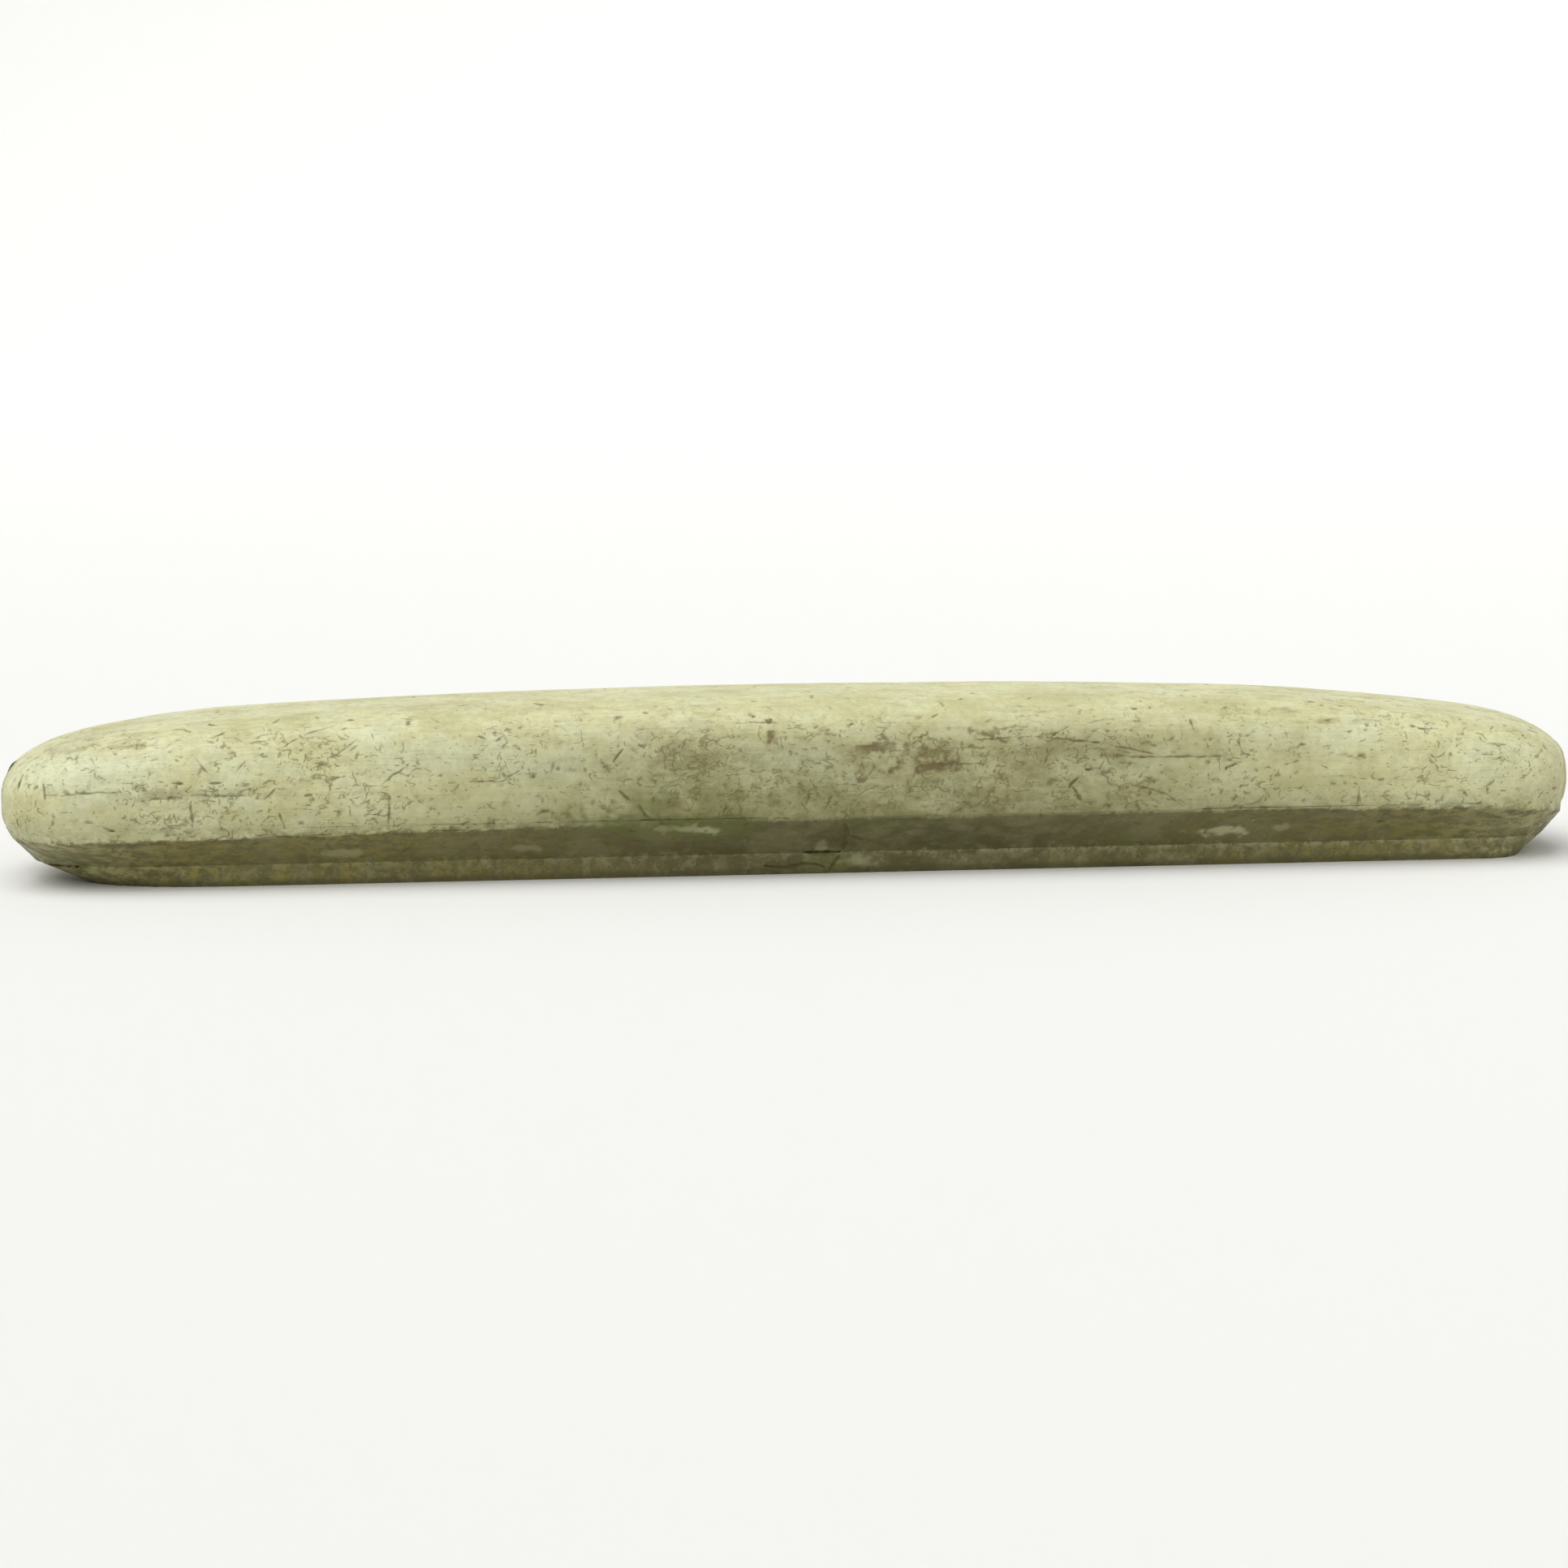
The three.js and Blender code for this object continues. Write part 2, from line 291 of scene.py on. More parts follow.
# Short dark slits
SLITS = [
    [(-407, 59), (-388, 59.5)],
    [(-384, 60.5), (-349, 60.5)],
    [(-484, 76), (-488, 65)],
    [(-472, 70), (-471, 59.5)],
    [(-383, 59.5), (-382, 40.5)],
    [(-394, 49.5), (-392, 44)],
    [(-437, 42.5), (-429, 39)],
    [(-395, 68), (-387, 68)],
    [(-372, 68), (-364, 68)],
    [(-314, 59), (-309, 60)],
    [(-281, 52.5), (-274, 56)],
    [(-330, 49), (-326, 39)],
    [(-262, 60), (-263, 41)],
    [(-109, 49.5), (-101, 37.5)],
    [(-121, 58.5), (-113, 51.5)],
    [(-467, 47.5), (-467, 43.5)],
    [(171, 66), (182, 66.5), (185, 71.5)],
    [(160, 52.5), (169, 61.5)],
    [(165, 55.5), (171, 46.5)],
    [(239, 98), (242, 90.5)],
    [(270, 68.5), (262, 64.5)],
    [(349, 53), (349, 38.5)],
    [(395, 71.5), (398, 69.5), (402, 70.5)],
    [(433, 50), (433, 45)],
    [(386, 89), (402, 88.5)],
]

# Brown stains: middle, half length, half height, strength
STAINS = [
    (-421, 92, 14, 1.2, 0.35),
    (-404, 61, 10, 3, 0.35),
    (-460, 90, 10, 2, 0.25),
    (-27, 93.5, 3.5, 2.5, 0.9),
    (-85, 86.5, 14, 5, 0.25),
    (-102, 94, 10, 4, 0.2),
    (-66, 78, 16, 5, 0.2),
    (32, 83, 7, 2.5, 0.8),
    (49, 82.5, 4, 2.5, 0.6),
    (73, 79, 11, 3.5, 0.7),
    (80, 70, 15, 2.5, 0.8),
    (76, 61, 5, 2, 0.5),
    (109, 90.5, 5, 2, 0.6),
    (95, 53.5, 5, 1.8, 0.45),
    (-88, 51, 6, 4, 0.3),
    (170, 80, 60, 8, 0.14),
    (-380, 62, 50, 3, 0.16),
]

# Pale bleached patches: middle, half length, half height, strength
BLOOMS = [
    (-445, 76, 45, 16, 0.7),
    (-225, 82, 45, 10, 0.6),
    (-165, 74, 28, 9, 0.5),
    (-10, 76, 34, 11, 0.5),
    (85, 47, 18, 6, 0.8),
    (195, 66, 40, 9, 0.4),
    (330, 84, 60, 8, 0.3),
    (440, 72, 30, 12, 0.4),
]

# Pale scraped spots: middle, half length, half height, strength
SCRAPES = [
    (262, 26, 13, 2.6, 0.9),
    (300, 27, 5, 1.5, 0.4),
    (68, 46.5, 16, 4, 0.5),
    (-66, 32.5, 6, 2, 0.8),
    (-78, 33.5, 8, 1.3, 0.6),
    (-93, 34, 5, 1.5, 0.4),
    (28, 11, 9, 2.5, 0.5),
    (5, 20, 4, 3, 0.4),
    (-180, 24, 9, 2, 0.35),
    (-290, 23, 12, 2, 0.4),
]

# Places thick with small scuffs: middle, half length, half height, strength
CROWDS = [
    (-85, 86, 38, 9, 1.0),
    (-92, 56, 34, 14, 0.9),
    (-380, 62, 48, 7, 0.9),
    (-415, 48, 60, 8, 0.5),
    (-305, 88, 45, 10, 0.6),
    (-290, 52, 60, 8, 0.5),
    (-190, 70, 34, 7, 0.5),
    (-20, 62, 45, 14, 0.5),
    (78, 76, 58, 12, 1.0),
    (110, 54, 80, 10, 0.8),
    (195, 78, 70, 9, 0.7),
    (225, 52, 50, 10, 0.6),
    (350, 50, 45, 8, 0.4),
    (-30, 94, 40, 6, 0.5),
]

# Green moss in the dirt: middle, half length, half height, strength
MOSSES = [
    (-92, 37, 50, 6, 1.0),
    (-45, 36, 16, 5, 0.7),
    (-93, 50, 14, 6, 0.7),
    (-66, 55, 16, 8, 0.5),
    (-80, 68, 12, 8, 0.35),
    (-105, 60, 10, 8, 0.35),
    (40, 34, 26, 4, 0.4),
    (8, 12, 16, 5, 0.5),
]

# A crack that crosses the chamfer and the sole, and its side branches
CRACKS = [
    [(21, 35), (22, 27), (19, 18)],
    [(18, 15), (11, 5)],
    [(18, 17), (6, 16.5), (-8, 18)],
    [(-30, 9), (-18, 7), (-4, 9.5), (9, 8)],
    [(22, 27), (31, 24)],
]


SCRATCH_CUT = {"width": 1.25 * MM, "depth": 0.25 * MM, "dark": 0.8}
SLIT_CUT = {"width": 1.8 * MM, "depth": 0.5 * MM, "dark": 0.85}
CRACK_CUT = {"width": 2.6 * MM, "depth": 1.0 * MM, "dark": 1.0}


def placed_marks():
    """The marks of the near side that are listed one by one."""
    marks = []
    for lines, cut in ((SCRATCHES, SCRATCH_CUT), (SLITS, SLIT_CUT), (CRACKS, CRACK_CUT)):
        marks += [Mark(line_on_near_side(line), placed=True, **cut) for line in lines]
    return marks


MARKED_SPAN = 0.985  # share of the body's length that random marks start on
LOWEST_ANGLE = -0.42  # of a mark's place, seen along the bore, from level
SIDE_CROWDING = 1.6  # above 1, marks crowd onto the sides rather than the crown
WELL_OUTSIDE = 0.3  # metres from the bore, further than any surface of the body


def surface_point(random):
    """A random point of the body's outside, oftener on its sides than on its crown, and its normal."""
    along = random.uniform(body_low.x * MARKED_SPAN, body_high.x * MARKED_SPAN)
    angle = LOWEST_ANGLE + (math.pi / 2 - LOWEST_ANGLE) * random.uniform(0, 1) ** SIDE_CROWDING
    if random.random() < 0.5:
        angle = math.pi - angle
    outward = Vector((0, math.cos(angle), math.sin(angle)))
    start = Vector((along, 0, BORE_HEIGHT)) + outward * WELL_OUTSIDE
    hit = body_surface.ray_cast(start, -outward)
    return hit[0], hit[1]


def scattered_marks(count, random, length, width, depth, dark, lengthways=0.5):
    """Small random marks all over the outside. The higher `lengthways` is, the more run along the body."""
    marks = []
    while len(marks) < count:
        point, normal = surface_point(random)
        if point is None:
            continue
        along = Vector((1, 0, 0))
        across = normal.cross(along)
        if across.length < 0.3:
            continue
        across.normalize()
        angle = random.normal(0, 0.35) if random.random() < lengthways else random.uniform(0, math.pi)
        heading = along * math.cos(angle) + across * math.sin(angle)
        bend = across * math.cos(angle) - along * math.sin(angle)
        reach = random.uniform(*length) * random.uniform(0.5, 1)
        sway = random.normal(0, 0.12) * reach
        line = []
        for share in (-0.5, 0, 0.5):
            near = point + heading * reach * share + bend * sway * (1 - 4 * share * share)
            line.append(body_surface.find_nearest(near)[0])
        strength = random.uniform(0.35, 1)
        marks.append(Mark(line, random.uniform(*width), depth * strength, dark * strength))
    return marks


SHORT_CUTS = {
    "count": 900,
    "length": (3 * MM, 13 * MM),
    "width": (1.0 * MM, 1.9 * MM),
    "depth": 0.3 * MM,
    "dark": 0.85,
}
LONG_SCRATCHES = {
    "count": 90,
    "length": (12 * MM, 36 * MM),
    "width": (0.9 * MM, 1.3 * MM),
    "depth": 0.22 * MM,
    "dark": 0.7,
    "lengthways": 0.75,
}
DENTS = {
    "count": 350,
    "length": (1 * MM, 4 * MM),
    "width": (1.4 * MM, 3.0 * MM),
    "depth": 0.3 * MM,
    "dark": 0.7,
}


def all_marks():
    """Every mark, placed and scattered."""
    random = np.random.default_rng(RANDOM_SEED)
    marks = placed_marks()
    for kind in (SHORT_CUTS, LONG_SCRATCHES, DENTS):
        marks += scattered_marks(random=random, **kind)
    return marks


def distance_to_line(points, line):
    """Each point's distance from a line of straight stretches, and how far along it that is, 0 to 1."""
    nearest = np.full(len(points), np.inf)
    along = np.zeros(len(points))
    count = len(line) - 1
    for index in range(count):
        start = line[index]
        stretch = line[index + 1] - start
        share = np.clip((points - start) @ stretch / max(stretch @ stretch, 1e-12), 0, 1)
        distance = np.linalg.norm(points - start - share[:, None] * stretch, axis=1)
        closer = distance < nearest
        nearest[closer] = distance[closer]
        along[closer] = (index + share[closer]) / count
    return nearest, along


class Places:
    """Points sorted along the body, so that the few near a mark are quick to find."""

    def __init__(self, points):
        self.points = points
        self.order = np.argsort(points[:, 0])
        self.sorted_x = points[self.order, 0]

    def near(self, mark, reach):
        low = mark.points.min(axis=0) - reach
        high = mark.points.max(axis=0) + reach
        start, end = np.searchsorted(self.sorted_x, (low[0], high[0]))
        picked = self.order[start:end]
        inside = np.all((self.points[picked] >= low) & (self.points[picked] <= high), axis=1)
        picked = picked[inside]
        distance, along = distance_to_line(self.points[picked], mark.points)
        close = distance < reach
        return picked[close], distance[close], along[close]


# ---------- skins ----------

def coordinates(mesh):
    values = np.empty(len(mesh.vertices) * 3)
    mesh.vertices.foreach_get("co", values)
    return values.reshape(-1, 3)


def set_coordinates(mesh, points):
    mesh.vertices.foreach_set("co", points.ravel())
    mesh.update()


def normals(mesh):
    values = np.empty(len(mesh.vertices) * 3)
    mesh.vertices.foreach_get("normal", values)
    return values.reshape(-1, 3)


def remeshed(node, name, voxel):
    """An even, fine mesh of a CAD node's surface, as a new object."""
    solid = merged_solid(node)
    mesh = bpy.data.meshes.new(name)
    solid.to_mesh(mesh)
    solid.free()
    skin = bpy.data.objects.new(name, mesh)
    bpy.context.scene.collection.objects.link(skin)
    modifier = skin.modifiers.new("even", "REMESH")
    modifier.mode = "VOXEL"
    modifier.voxel_size = voxel
    bpy.context.view_layer.update()
    seen = skin.evaluated_get(bpy.context.evaluated_depsgraph_get())
    skin.data = bpy.data.meshes.new_from_object(seen)
    skin.data.name = name
    skin.modifiers.clear()
    return skin


def refine_near(skin, marks):
    """Splits the mesh more finely where marks will be cut, and once more round the marks listed one by one.
    """
    placed = [mark for mark in marks if mark.placed]
    for chosen, margin in ((marks, MARK_MARGIN), (placed, FINE_MARGIN)):
        mesh = skin.data
        places = Places(coordinates(mesh))
        close = np.zeros(len(mesh.vertices), bool)
        for mark in chosen:
            close[places.near(mark, mark.width + margin)[0]] = True
        fine = bmesh.new()
        fine.from_mesh(mesh)
        edges = [edge for edge in fine.edges if close[edge.verts[0].index] and close[edge.verts[1].index]]
        bmesh.ops.subdivide_edges(fine, edges=edges, cuts=1, use_grid_fill=True)
        fine.to_mesh(mesh)
        fine.free()


def smoothed(mesh, points, freedom):
    """Evens out the points without shrinking the shape. A point with no freedom stays."""
    edges = np.empty(len(mesh.edges) * 2, np.int32)
    mesh.edges.foreach_get("vertices", edges)
    first, second = edges.reshape(-1, 2).T
    count = np.bincount(np.concatenate([first, second]), minlength=len(points))
    for factor in SMOOTHING * SMOOTHING_ROUNDS:
        mean = np.empty_like(points)
        for axis in range(3):
            mean[:, axis] = np.bincount(first, points[second, axis], len(points))
            mean[:, axis] += np.bincount(second, points[first, axis], len(points))
        mean /= np.maximum(count, 1)[:, None]
        points = points + (factor * freedom)[:, None] * (mean - points)
    return points


def drawn_on(skin, node, voxel):
    """Draws a remeshed skin back onto its solid, with sharp edges sharp."""
    solid = merged_solid(node)
    surface = BVHTree.FromBMesh(solid)
    lines, thin = sharp_lines(solid)
    solid.free()
    points = coordinates(skin.data)
    to_edge = np.empty(len(points))
    for index, point in enumerate(points):
        place, found, distance = lines.find(point)
        reach = WEDGE_REACH if thin[found] else EDGE_REACH
        if distance > reach * voxel:
            place = surface.find_nearest(point)[0]
        points[index] = place
        to_edge[index] = distance
    freedom = smoothstep(1.5 * voxel, 5 * voxel, to_edge)
    set_coordinates(skin.data, smoothed(skin.data, points, freedom))


def outside(points, facing, surface):
    """1 for each point that faces open air, and 0 inside the bore and between the timbers."""
    from_axis = points - (0, 0, BORE_HEIGHT)
    from_axis[:, 0] = 0
    from_axis /= np.linalg.norm(from_axis, axis=1)[:, None]
    faces_bore = np.sum(facing * from_axis, axis=1) < -0.3
    result = np.where(faces_bore, 0.0, 1.0)
    for index in np.flatnonzero(result):
        direction = Vector(facing[index])
        if direction.length < 0.5:
            result[index] = 0
            continue
        start = Vector(points[index]) + direction * 0.2 * MM
        if surface.ray_cast(start, direction, 0.2)[0] is not None:
            result[index] = 0
    return result


def add_attribute(skin, name, values):
    attribute = skin.data.attributes.new(name, "FLOAT", "POINT")
    attribute.data.foreach_set("value", np.clip(values, 0, 1).astype(np.float32))


def shade_smooth(skin):
    """Shades the skin smooth, apart from its sharp edges."""
    skin.data.polygons.foreach_set("use_smooth", np.ones(len(skin.data.polygons), bool))
    skin.data.set_sharp_from_angle(angle=CREASE_ANGLE)
    skin.data.update()


def near_side_reading(points):
    """Where each point is seen from the front on the near side's upright plane, in millimetres."""
    away = points - np.array(sight_point)
    reach = (-HALF_WIDTH - sight_point.y) / away[:, 1]
    return (sight_point.x + reach * away[:, 0]) / MM, (sight_point.z + reach * away[:, 2]) / MM


def patches_on(points, facing, patches, ragged, soft):
    """Listed patches on the near side: `ragged` breaks their outlines, `soft` widens their edge."""
    along, up = near_side_reading(points)
    cover = np.zeros(len(points))
    for x, z, half_length, half_height, strength in patches:
        distance = np.hypot((along - x) / half_length, (up - z) / half_height) * ragged
        cover = np.maximum(cover, strength * (1 - smoothstep(1 - soft, 1 + soft, distance)))
    return cover * (facing[:, 1] < 0.15)


def stain_map(points, facing):
    """The brown stains: listed ones, and scattered streaks all over."""
    ragged = 1 + 0.7 * noise(points, 0.0055, 31) + 0.6 * noise(points, 0.0022, 32)
    placed = patches_on(points, facing, STAINS, ragged, 0.3)
    streak = noise(points, (0.022, 0.006, 0.004), 33) + 0.5 * noise(points, (0.008, 0.003, 0.002), 34)
    zone = smoothstep(0.1, 0.7, noise(points, (0.11, 0.05, 0.05), 35))
    return np.maximum(1.3 * placed, 0.6 * zone * smoothstep(0.35, 0.95, streak))


def bloom_map(points, facing):
    """Pale, bleached patches: listed ones, and scattered ones all over."""
    placed = patches_on(points, facing, BLOOMS, 1 + 0.5 * noise(points, 0.012, 41), 0.5)
    cloud = noise(points, (0.045, 0.02, 0.02), 42) + 0.5 * noise(points, (0.015, 0.009, 0.009), 43)
    return np.maximum(placed, 0.5 * smoothstep(0.3, 0.9, cloud))


def moss_map(points, facing):
    """Green moss: listed patches, and a few scattered ones low down."""
    ragged = 1 + 0.6 * noise(points, 0.009, 51) + 0.5 * noise(points, 0.003, 52)
    placed = patches_on(points, facing, MOSSES, ragged, 0.45)
    low = 1 - smoothstep(SEAM_HEIGHT, 0.6 * body_high.z, points[:, 2])
    cloud = noise(points, (0.05, 0.02, 0.02), 53) + 0.5 * noise(points, 0.008, 54)
    return np.maximum(placed, 0.6 * low * smoothstep(0.6, 1.0, cloud))


def arris_points():
    """Points along the sharp edge that runs round the body between side and chamfer."""
    points = []
    for node in ("upper_shell", "lower_shell"):
        solid = merged_solid(node)
        for edge in solid.edges:
            tilts = sorted(face.normal.z for face in edge.link_faces)
            slanting = -0.95 < tilts[0] < -0.2 and tilts[0] + 0.2 < tilts[-1] < 0.95
            from_axis = min(math.hypot(vert.co.y, vert.co.z - BORE_HEIGHT) for vert in edge.verts)
            lowest = min(vert.co.z for vert in edge.verts)
            if slanting and lowest > lower_low.z + 5 * MM and from_axis > 30 * MM:
                points += points_along(edge, MM)
        solid.free()
    return points


arris_tree = tree_of(arris_points())


def arris_readings(points):
    """Each point's distance from the arris, and how far above it the point is."""
    found = [arris_tree.find(point) for point in points]
    distance = np.array([entry[2] for entry in found])
    height = np.array([entry[0].z for entry in found])
    return distance, points[:, 2] - height


def marks_on(points, marks):
    """How deep and how dark the marks are at each point: they sway, thin out and fade like worn ones."""
    cut = np.zeros(len(points))
    dark = np.zeros(len(points))
    sway = np.stack([noise(points, 0.005, seed) for seed in (11, 12, 13)], axis=1)
    places = Places(points + 0.7 * MM * sway)
    patchy = 0.75 + 0.45 * noise(points, 0.0035, 14)
    for mark in marks:
        picked, distance, along = places.near(mark, mark.width * 1.3)
        taper = np.clip(4 * along * (1 - along), 0.04, 1) ** 0.5
        share = distance / (mark.width * taper * patchy[picked])
        cut[picked] = np.maximum(cut[picked], mark.depth * (1 - smoothstep(0.25, 1.1, share)))
        core = 1 - smoothstep(0.25, 1.0, share)
        dark[picked] = np.maximum(dark[picked], mark.dark * core * np.clip(patchy[picked], 0, 1))
    return cut, dark


def skin_above(node, seam):
    """Whether the node lies above that seam."""
    low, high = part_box(node)
    return (low.z + high.z) / 2 > seam


def sideways_near_seams(points, facing):
    """The directions that wear moves the points in: level at the seams, so that neighbours still meet."""
    directions = facing.copy()
    for seam in (SEAM_HEIGHT, SOLE_SEAM_HEIGHT):
        directions[np.abs(points[:, 2] - seam) < 0.4 * MM, 2] = 0
    length = np.linalg.norm(directions, axis=1)
    return directions / np.maximum(length, 0.2)[:, None]


# The timbers' unevenness: its height in millimetres and its size across in metres
UNEVENNESS = [
    (0.28, 0.075),
    (0.16, (0.03, 0.018, 0.018)),
    (0.07, (0.012, 0.006, 0.006)),
    (0.035, (0.006, 0.0022, 0.0022)),
]
SUNK = 0.3  # millimetres by which the skins lie below their solids on average
SEAM_FILL = 0.33 * MM  # evens out the slight hollow along the seam


def chips_on(points):
    """1 where a chip has broken out of the arris."""
    return smoothstep(0.35, 0.75, noise(points, (0.013, 0.013, 0.013), 7) + 0.4 * noise(points, 0.004, 8))


def relief(points, to_arris, chip):
    """How far unevenness and wear lift each point off its solid."""
    lift = np.full(len(points), -SUNK)
    for seed, (height, size) in enumerate(UNEVENNESS, 1):
        lift += height * noise(points, size, seed)
    lift *= MM
    to_seam = np.abs(points[:, 2] - SEAM_HEIGHT)
    far_arris = smoothstep(2 * MM, 6 * MM, to_arris + to_seam)
    lift += SEAM_FILL * far_arris * np.exp(-to_seam / (2.5 * MM))
    wear = np.maximum(0.45 + 0.5 * noise(points, 0.02, 5) + 0.55 * noise(points, 0.006, 6), 0)
    lift -= wear * np.exp(-to_arris / (1.6 * MM)) * MM
    lift -= 1.3 * chip * np.exp(-to_arris / (3 * MM)) * MM
    return lift


def close_seams(points, node):
    """Brings the timber's seams up to its neighbours, and keeps it out of the floor."""
    for seam in (SEAM_HEIGHT, SOLE_SEAM_HEIGHT):
        close = np.abs(points[:, 2] - seam) < 0.3 * MM
        side = 1 if skin_above(node, seam) else -1
        points[close, 2] = seam + side * GLUE_LINE / 2
    points[:, 2] = np.maximum(points[:, 2], 0)


def timber_looks(points, facing, open_air, to_arris, over_arris):
    """What the timber materials read at each point, apart from the marks and the chips."""
    arris_line = (1.0 * noise(points, 0.007, 9) + 0.8 * noise(points, 0.0025, 10)) * MM
    crowd_outline = 1 + 0.5 * noise(points, 0.011, 61)
    scrape_outline = 1 + 0.5 * noise(points, 0.006, 62) + 0.3 * noise(points, 0.002, 63)
    return {
        "stain": stain_map(points, facing) * open_air,
        "arris": np.exp(-to_arris / (5 * MM)) * open_air,
        # painted shade: 1 below the arris, where the chamfer and the sole face down out of the light
        "below": 1 - smoothstep(-0.7 * MM, 0.5 * MM, over_arris + arris_line),
        "bloom": bloom_map(points, facing) * open_air,
        "moss": moss_map(points, facing) * open_air,
        "crowd": patches_on(points, facing, CROWDS, crowd_outline, 0.6),
        "scrape": patches_on(points, facing, SCRAPES, scrape_outline, 0.35),
        "inside": 1 - open_air,
    }


def timber_skin(node, name, marks):
    """The finished skin of one of the three timbers."""
    voxel = ARRIS_VOXEL if node == "lower_shell" else TIMBER_VOXEL
    skin = remeshed(node, name, voxel)
    drawn_on(skin, node, voxel)
    refine_near(skin, marks)
    points = coordinates(skin.data)
    facing = sideways_near_seams(points, normals(skin.data))
    open_air = outside(points, facing, body_surface)
    to_arris, over_arris = arris_readings(points)
    chip = chips_on(points)
    cut, dark = marks_on(points, marks)
    lift = relief(points, to_arris, chip) - cut
    points = points + facing * (lift * open_air)[:, None]
    close_seams(points, node)
    set_coordinates(skin.data, points)
    add_attribute(skin, "dark", dark * open_air)
    add_attribute(skin, "chip", chip * np.exp(-to_arris / (2.5 * MM)) * open_air)
    for look, values in timber_looks(points, facing, open_air, to_arris, over_arris).items():
        add_attribute(skin, look, values)
    shade_smooth(skin)
    return skin


# ---------- materials ----------

PALE = (0.675, 0.66, 0.38)
BLEACHED = (0.66, 0.695, 0.47)
OLIVE = (0.43, 0.41, 0.20)
# dirt, and painted shade that darkens the sides below the crown and at mid length
DIRT_AND_SHADE = (0.21, 0.20, 0.08)
# dirt, and painted shade in the band below the arris and at the bottom edge of the sole
GRIME_AND_SHADE = (0.13, 0.112, 0.03)
MOSS = (0.105, 0.125, 0.018)
STAIN = (0.15, 0.115, 0.042)
SLIT = (0.085, 0.066, 0.012)
TURNED = (0.50, 0.45, 0.25)
TURNED_GRAIN = (0.35, 0.30, 0.15)
TURNED_PATINA = (0.25, 0.19, 0.09)
TURNED_NICK = (0.09, 0.07, 0.04)
CORK = (0.42, 0.25, 0.12)
CORK_CRUMB = (0.6, 0.4, 0.21)
CORK_PORE = (0.1, 0.05, 0.025)
WAX = (0.60, 0.50, 0.24)
OLD_WAX = (0.42, 0.33, 0.13)
WAX_DIRT = (0.08, 0.05, 0.02)
DOWEL = (0.62, 0.44, 0.24)
DOWEL_GRAIN = (0.42, 0.27, 0.12)
DOWEL_PORE = (0.2, 0.12, 0.06)
FLOOR = (0.80, 0.80, 0.785)
LENGTH = body_high.x - body_low.x


class Nodes:
    """Short ways to add shader nodes."""

    def __init__(self, name):
        self.material = bpy.data.materials.new(name)
        self.material.use_nodes = True
        self.tree = self.material.node_tree
        self.shader = self.tree.nodes["Principled BSDF"]
        self.place = self.add("ShaderNodeTexCoord").outputs["Object"]

    def add(self, kind, **settings):
        node = self.tree.nodes.new(kind)
        for key, value in settings.items():
            setattr(node, key, value)
        return node

    def link(self, source, target):
        if isinstance(source, bpy.types.NodeSocket):
            self.tree.links.new(source, target)
        else:
            target.default_value = source

    def stretched(self, scale, turn=(0, 0, 0)):
        """Object coordinates scaled for each axis, after a turn."""
        mapping = self.add("ShaderNodeMapping")
        self.link(self.place, mapping.inputs["Vector"])
        mapping.inputs["Scale"].default_value = scale
        mapping.inputs["Rotation"].default_value = turn
        return mapping.outputs["Vector"]

    def noise(self, scale, detail=3.0, roughness=0.55, place=None):
        texture = self.add("ShaderNodeTexNoise")
        self.link(place or self.place, texture.inputs["Vector"])
        texture.inputs["Scale"].default_value = scale
        texture.inputs["Detail"].default_value = detail
        texture.inputs["Roughness"].default_value = roughness
        return texture.outputs["Fac"]

    def attribute(self, name):
        return self.add("ShaderNodeAttribute", attribute_name=name).outputs["Fac"]

    def math(self, operation, first, second=0.0, clamp=False):
        node = self.add("ShaderNodeMath", operation=operation, use_clamp=clamp)
        self.link(first, node.inputs[0])
        self.link(second, node.inputs[1])
        return node.outputs[0]

    def spread(self, value, low, high, to_low=0.0, to_high=1.0):
        """A smooth step of the value from one range to another."""
        node = self.add("ShaderNodeMapRange", interpolation_type="SMOOTHSTEP")
        self.link(value, node.inputs["Value"])
        node.inputs["From Min"].default_value = low
        node.inputs["From Max"].default_value = high
        node.inputs["To Min"].default_value = to_low
        node.inputs["To Max"].default_value = to_high
        return node.outputs["Result"]

    def mix(self, share, first, second):
        """Two colours mixed: the first where the share is 0, and the second where it is 1."""
        node = self.add("ShaderNodeMix", data_type="RGBA")
        self.link(share, node.inputs["Factor"])
        self.link((*first, 1) if isinstance(first, tuple) else first, node.inputs["A"])
        self.link((*second, 1) if isinstance(second, tuple) else second, node.inputs["B"])
        return node.outputs["Result"]

    def cover(self, colour, mask, strength, over):
        """The colour with another laid over it where the mask is high."""
        return self.mix(self.math("MULTIPLY", mask, strength), colour, over)

    def position(self, axis):
        """How far along an axis each point lies, in metres."""
        parts = self.add("ShaderNodeSeparateXYZ")
        self.link(self.place, parts.inputs[0])
        return parts.outputs[axis]

    def bump(self, *layers):
        """Stacks (height, distance in metres) layers into one bumped normal."""
        normal = None
        for height, distance in layers:
            node = self.add("ShaderNodeBump")
            node.inputs["Distance"].default_value = distance
            self.link(height, node.inputs["Height"])
            if normal is not None:
                self.link(normal, node.inputs["Normal"])
            normal = node.outputs["Normal"]
        self.link(normal, self.shader.inputs["Normal"])

    def finish(self, colour, roughness):
        self.link(colour, self.shader.inputs["Base Color"])
        self.link(roughness, self.shader.inputs["Roughness"])
        return self.material


def nicks(nodes):
    """A mask of countless tiny dark nicks that point every way."""
    mask = 0.0
    for turn in ((0.3, 0.5, 0.0), (1.1, 0.2, 0.9), (0.7, -0.4, 2.0), (0.1, 0.0, 0.1)):
        place = nodes.stretched((1, 3.4, 1.6), turn)
        speck = nodes.spread(nodes.noise(230, 1.5, 0.5, place), 0.7, 0.75)
        mask = nodes.math("MAXIMUM", mask, speck)
    return mask


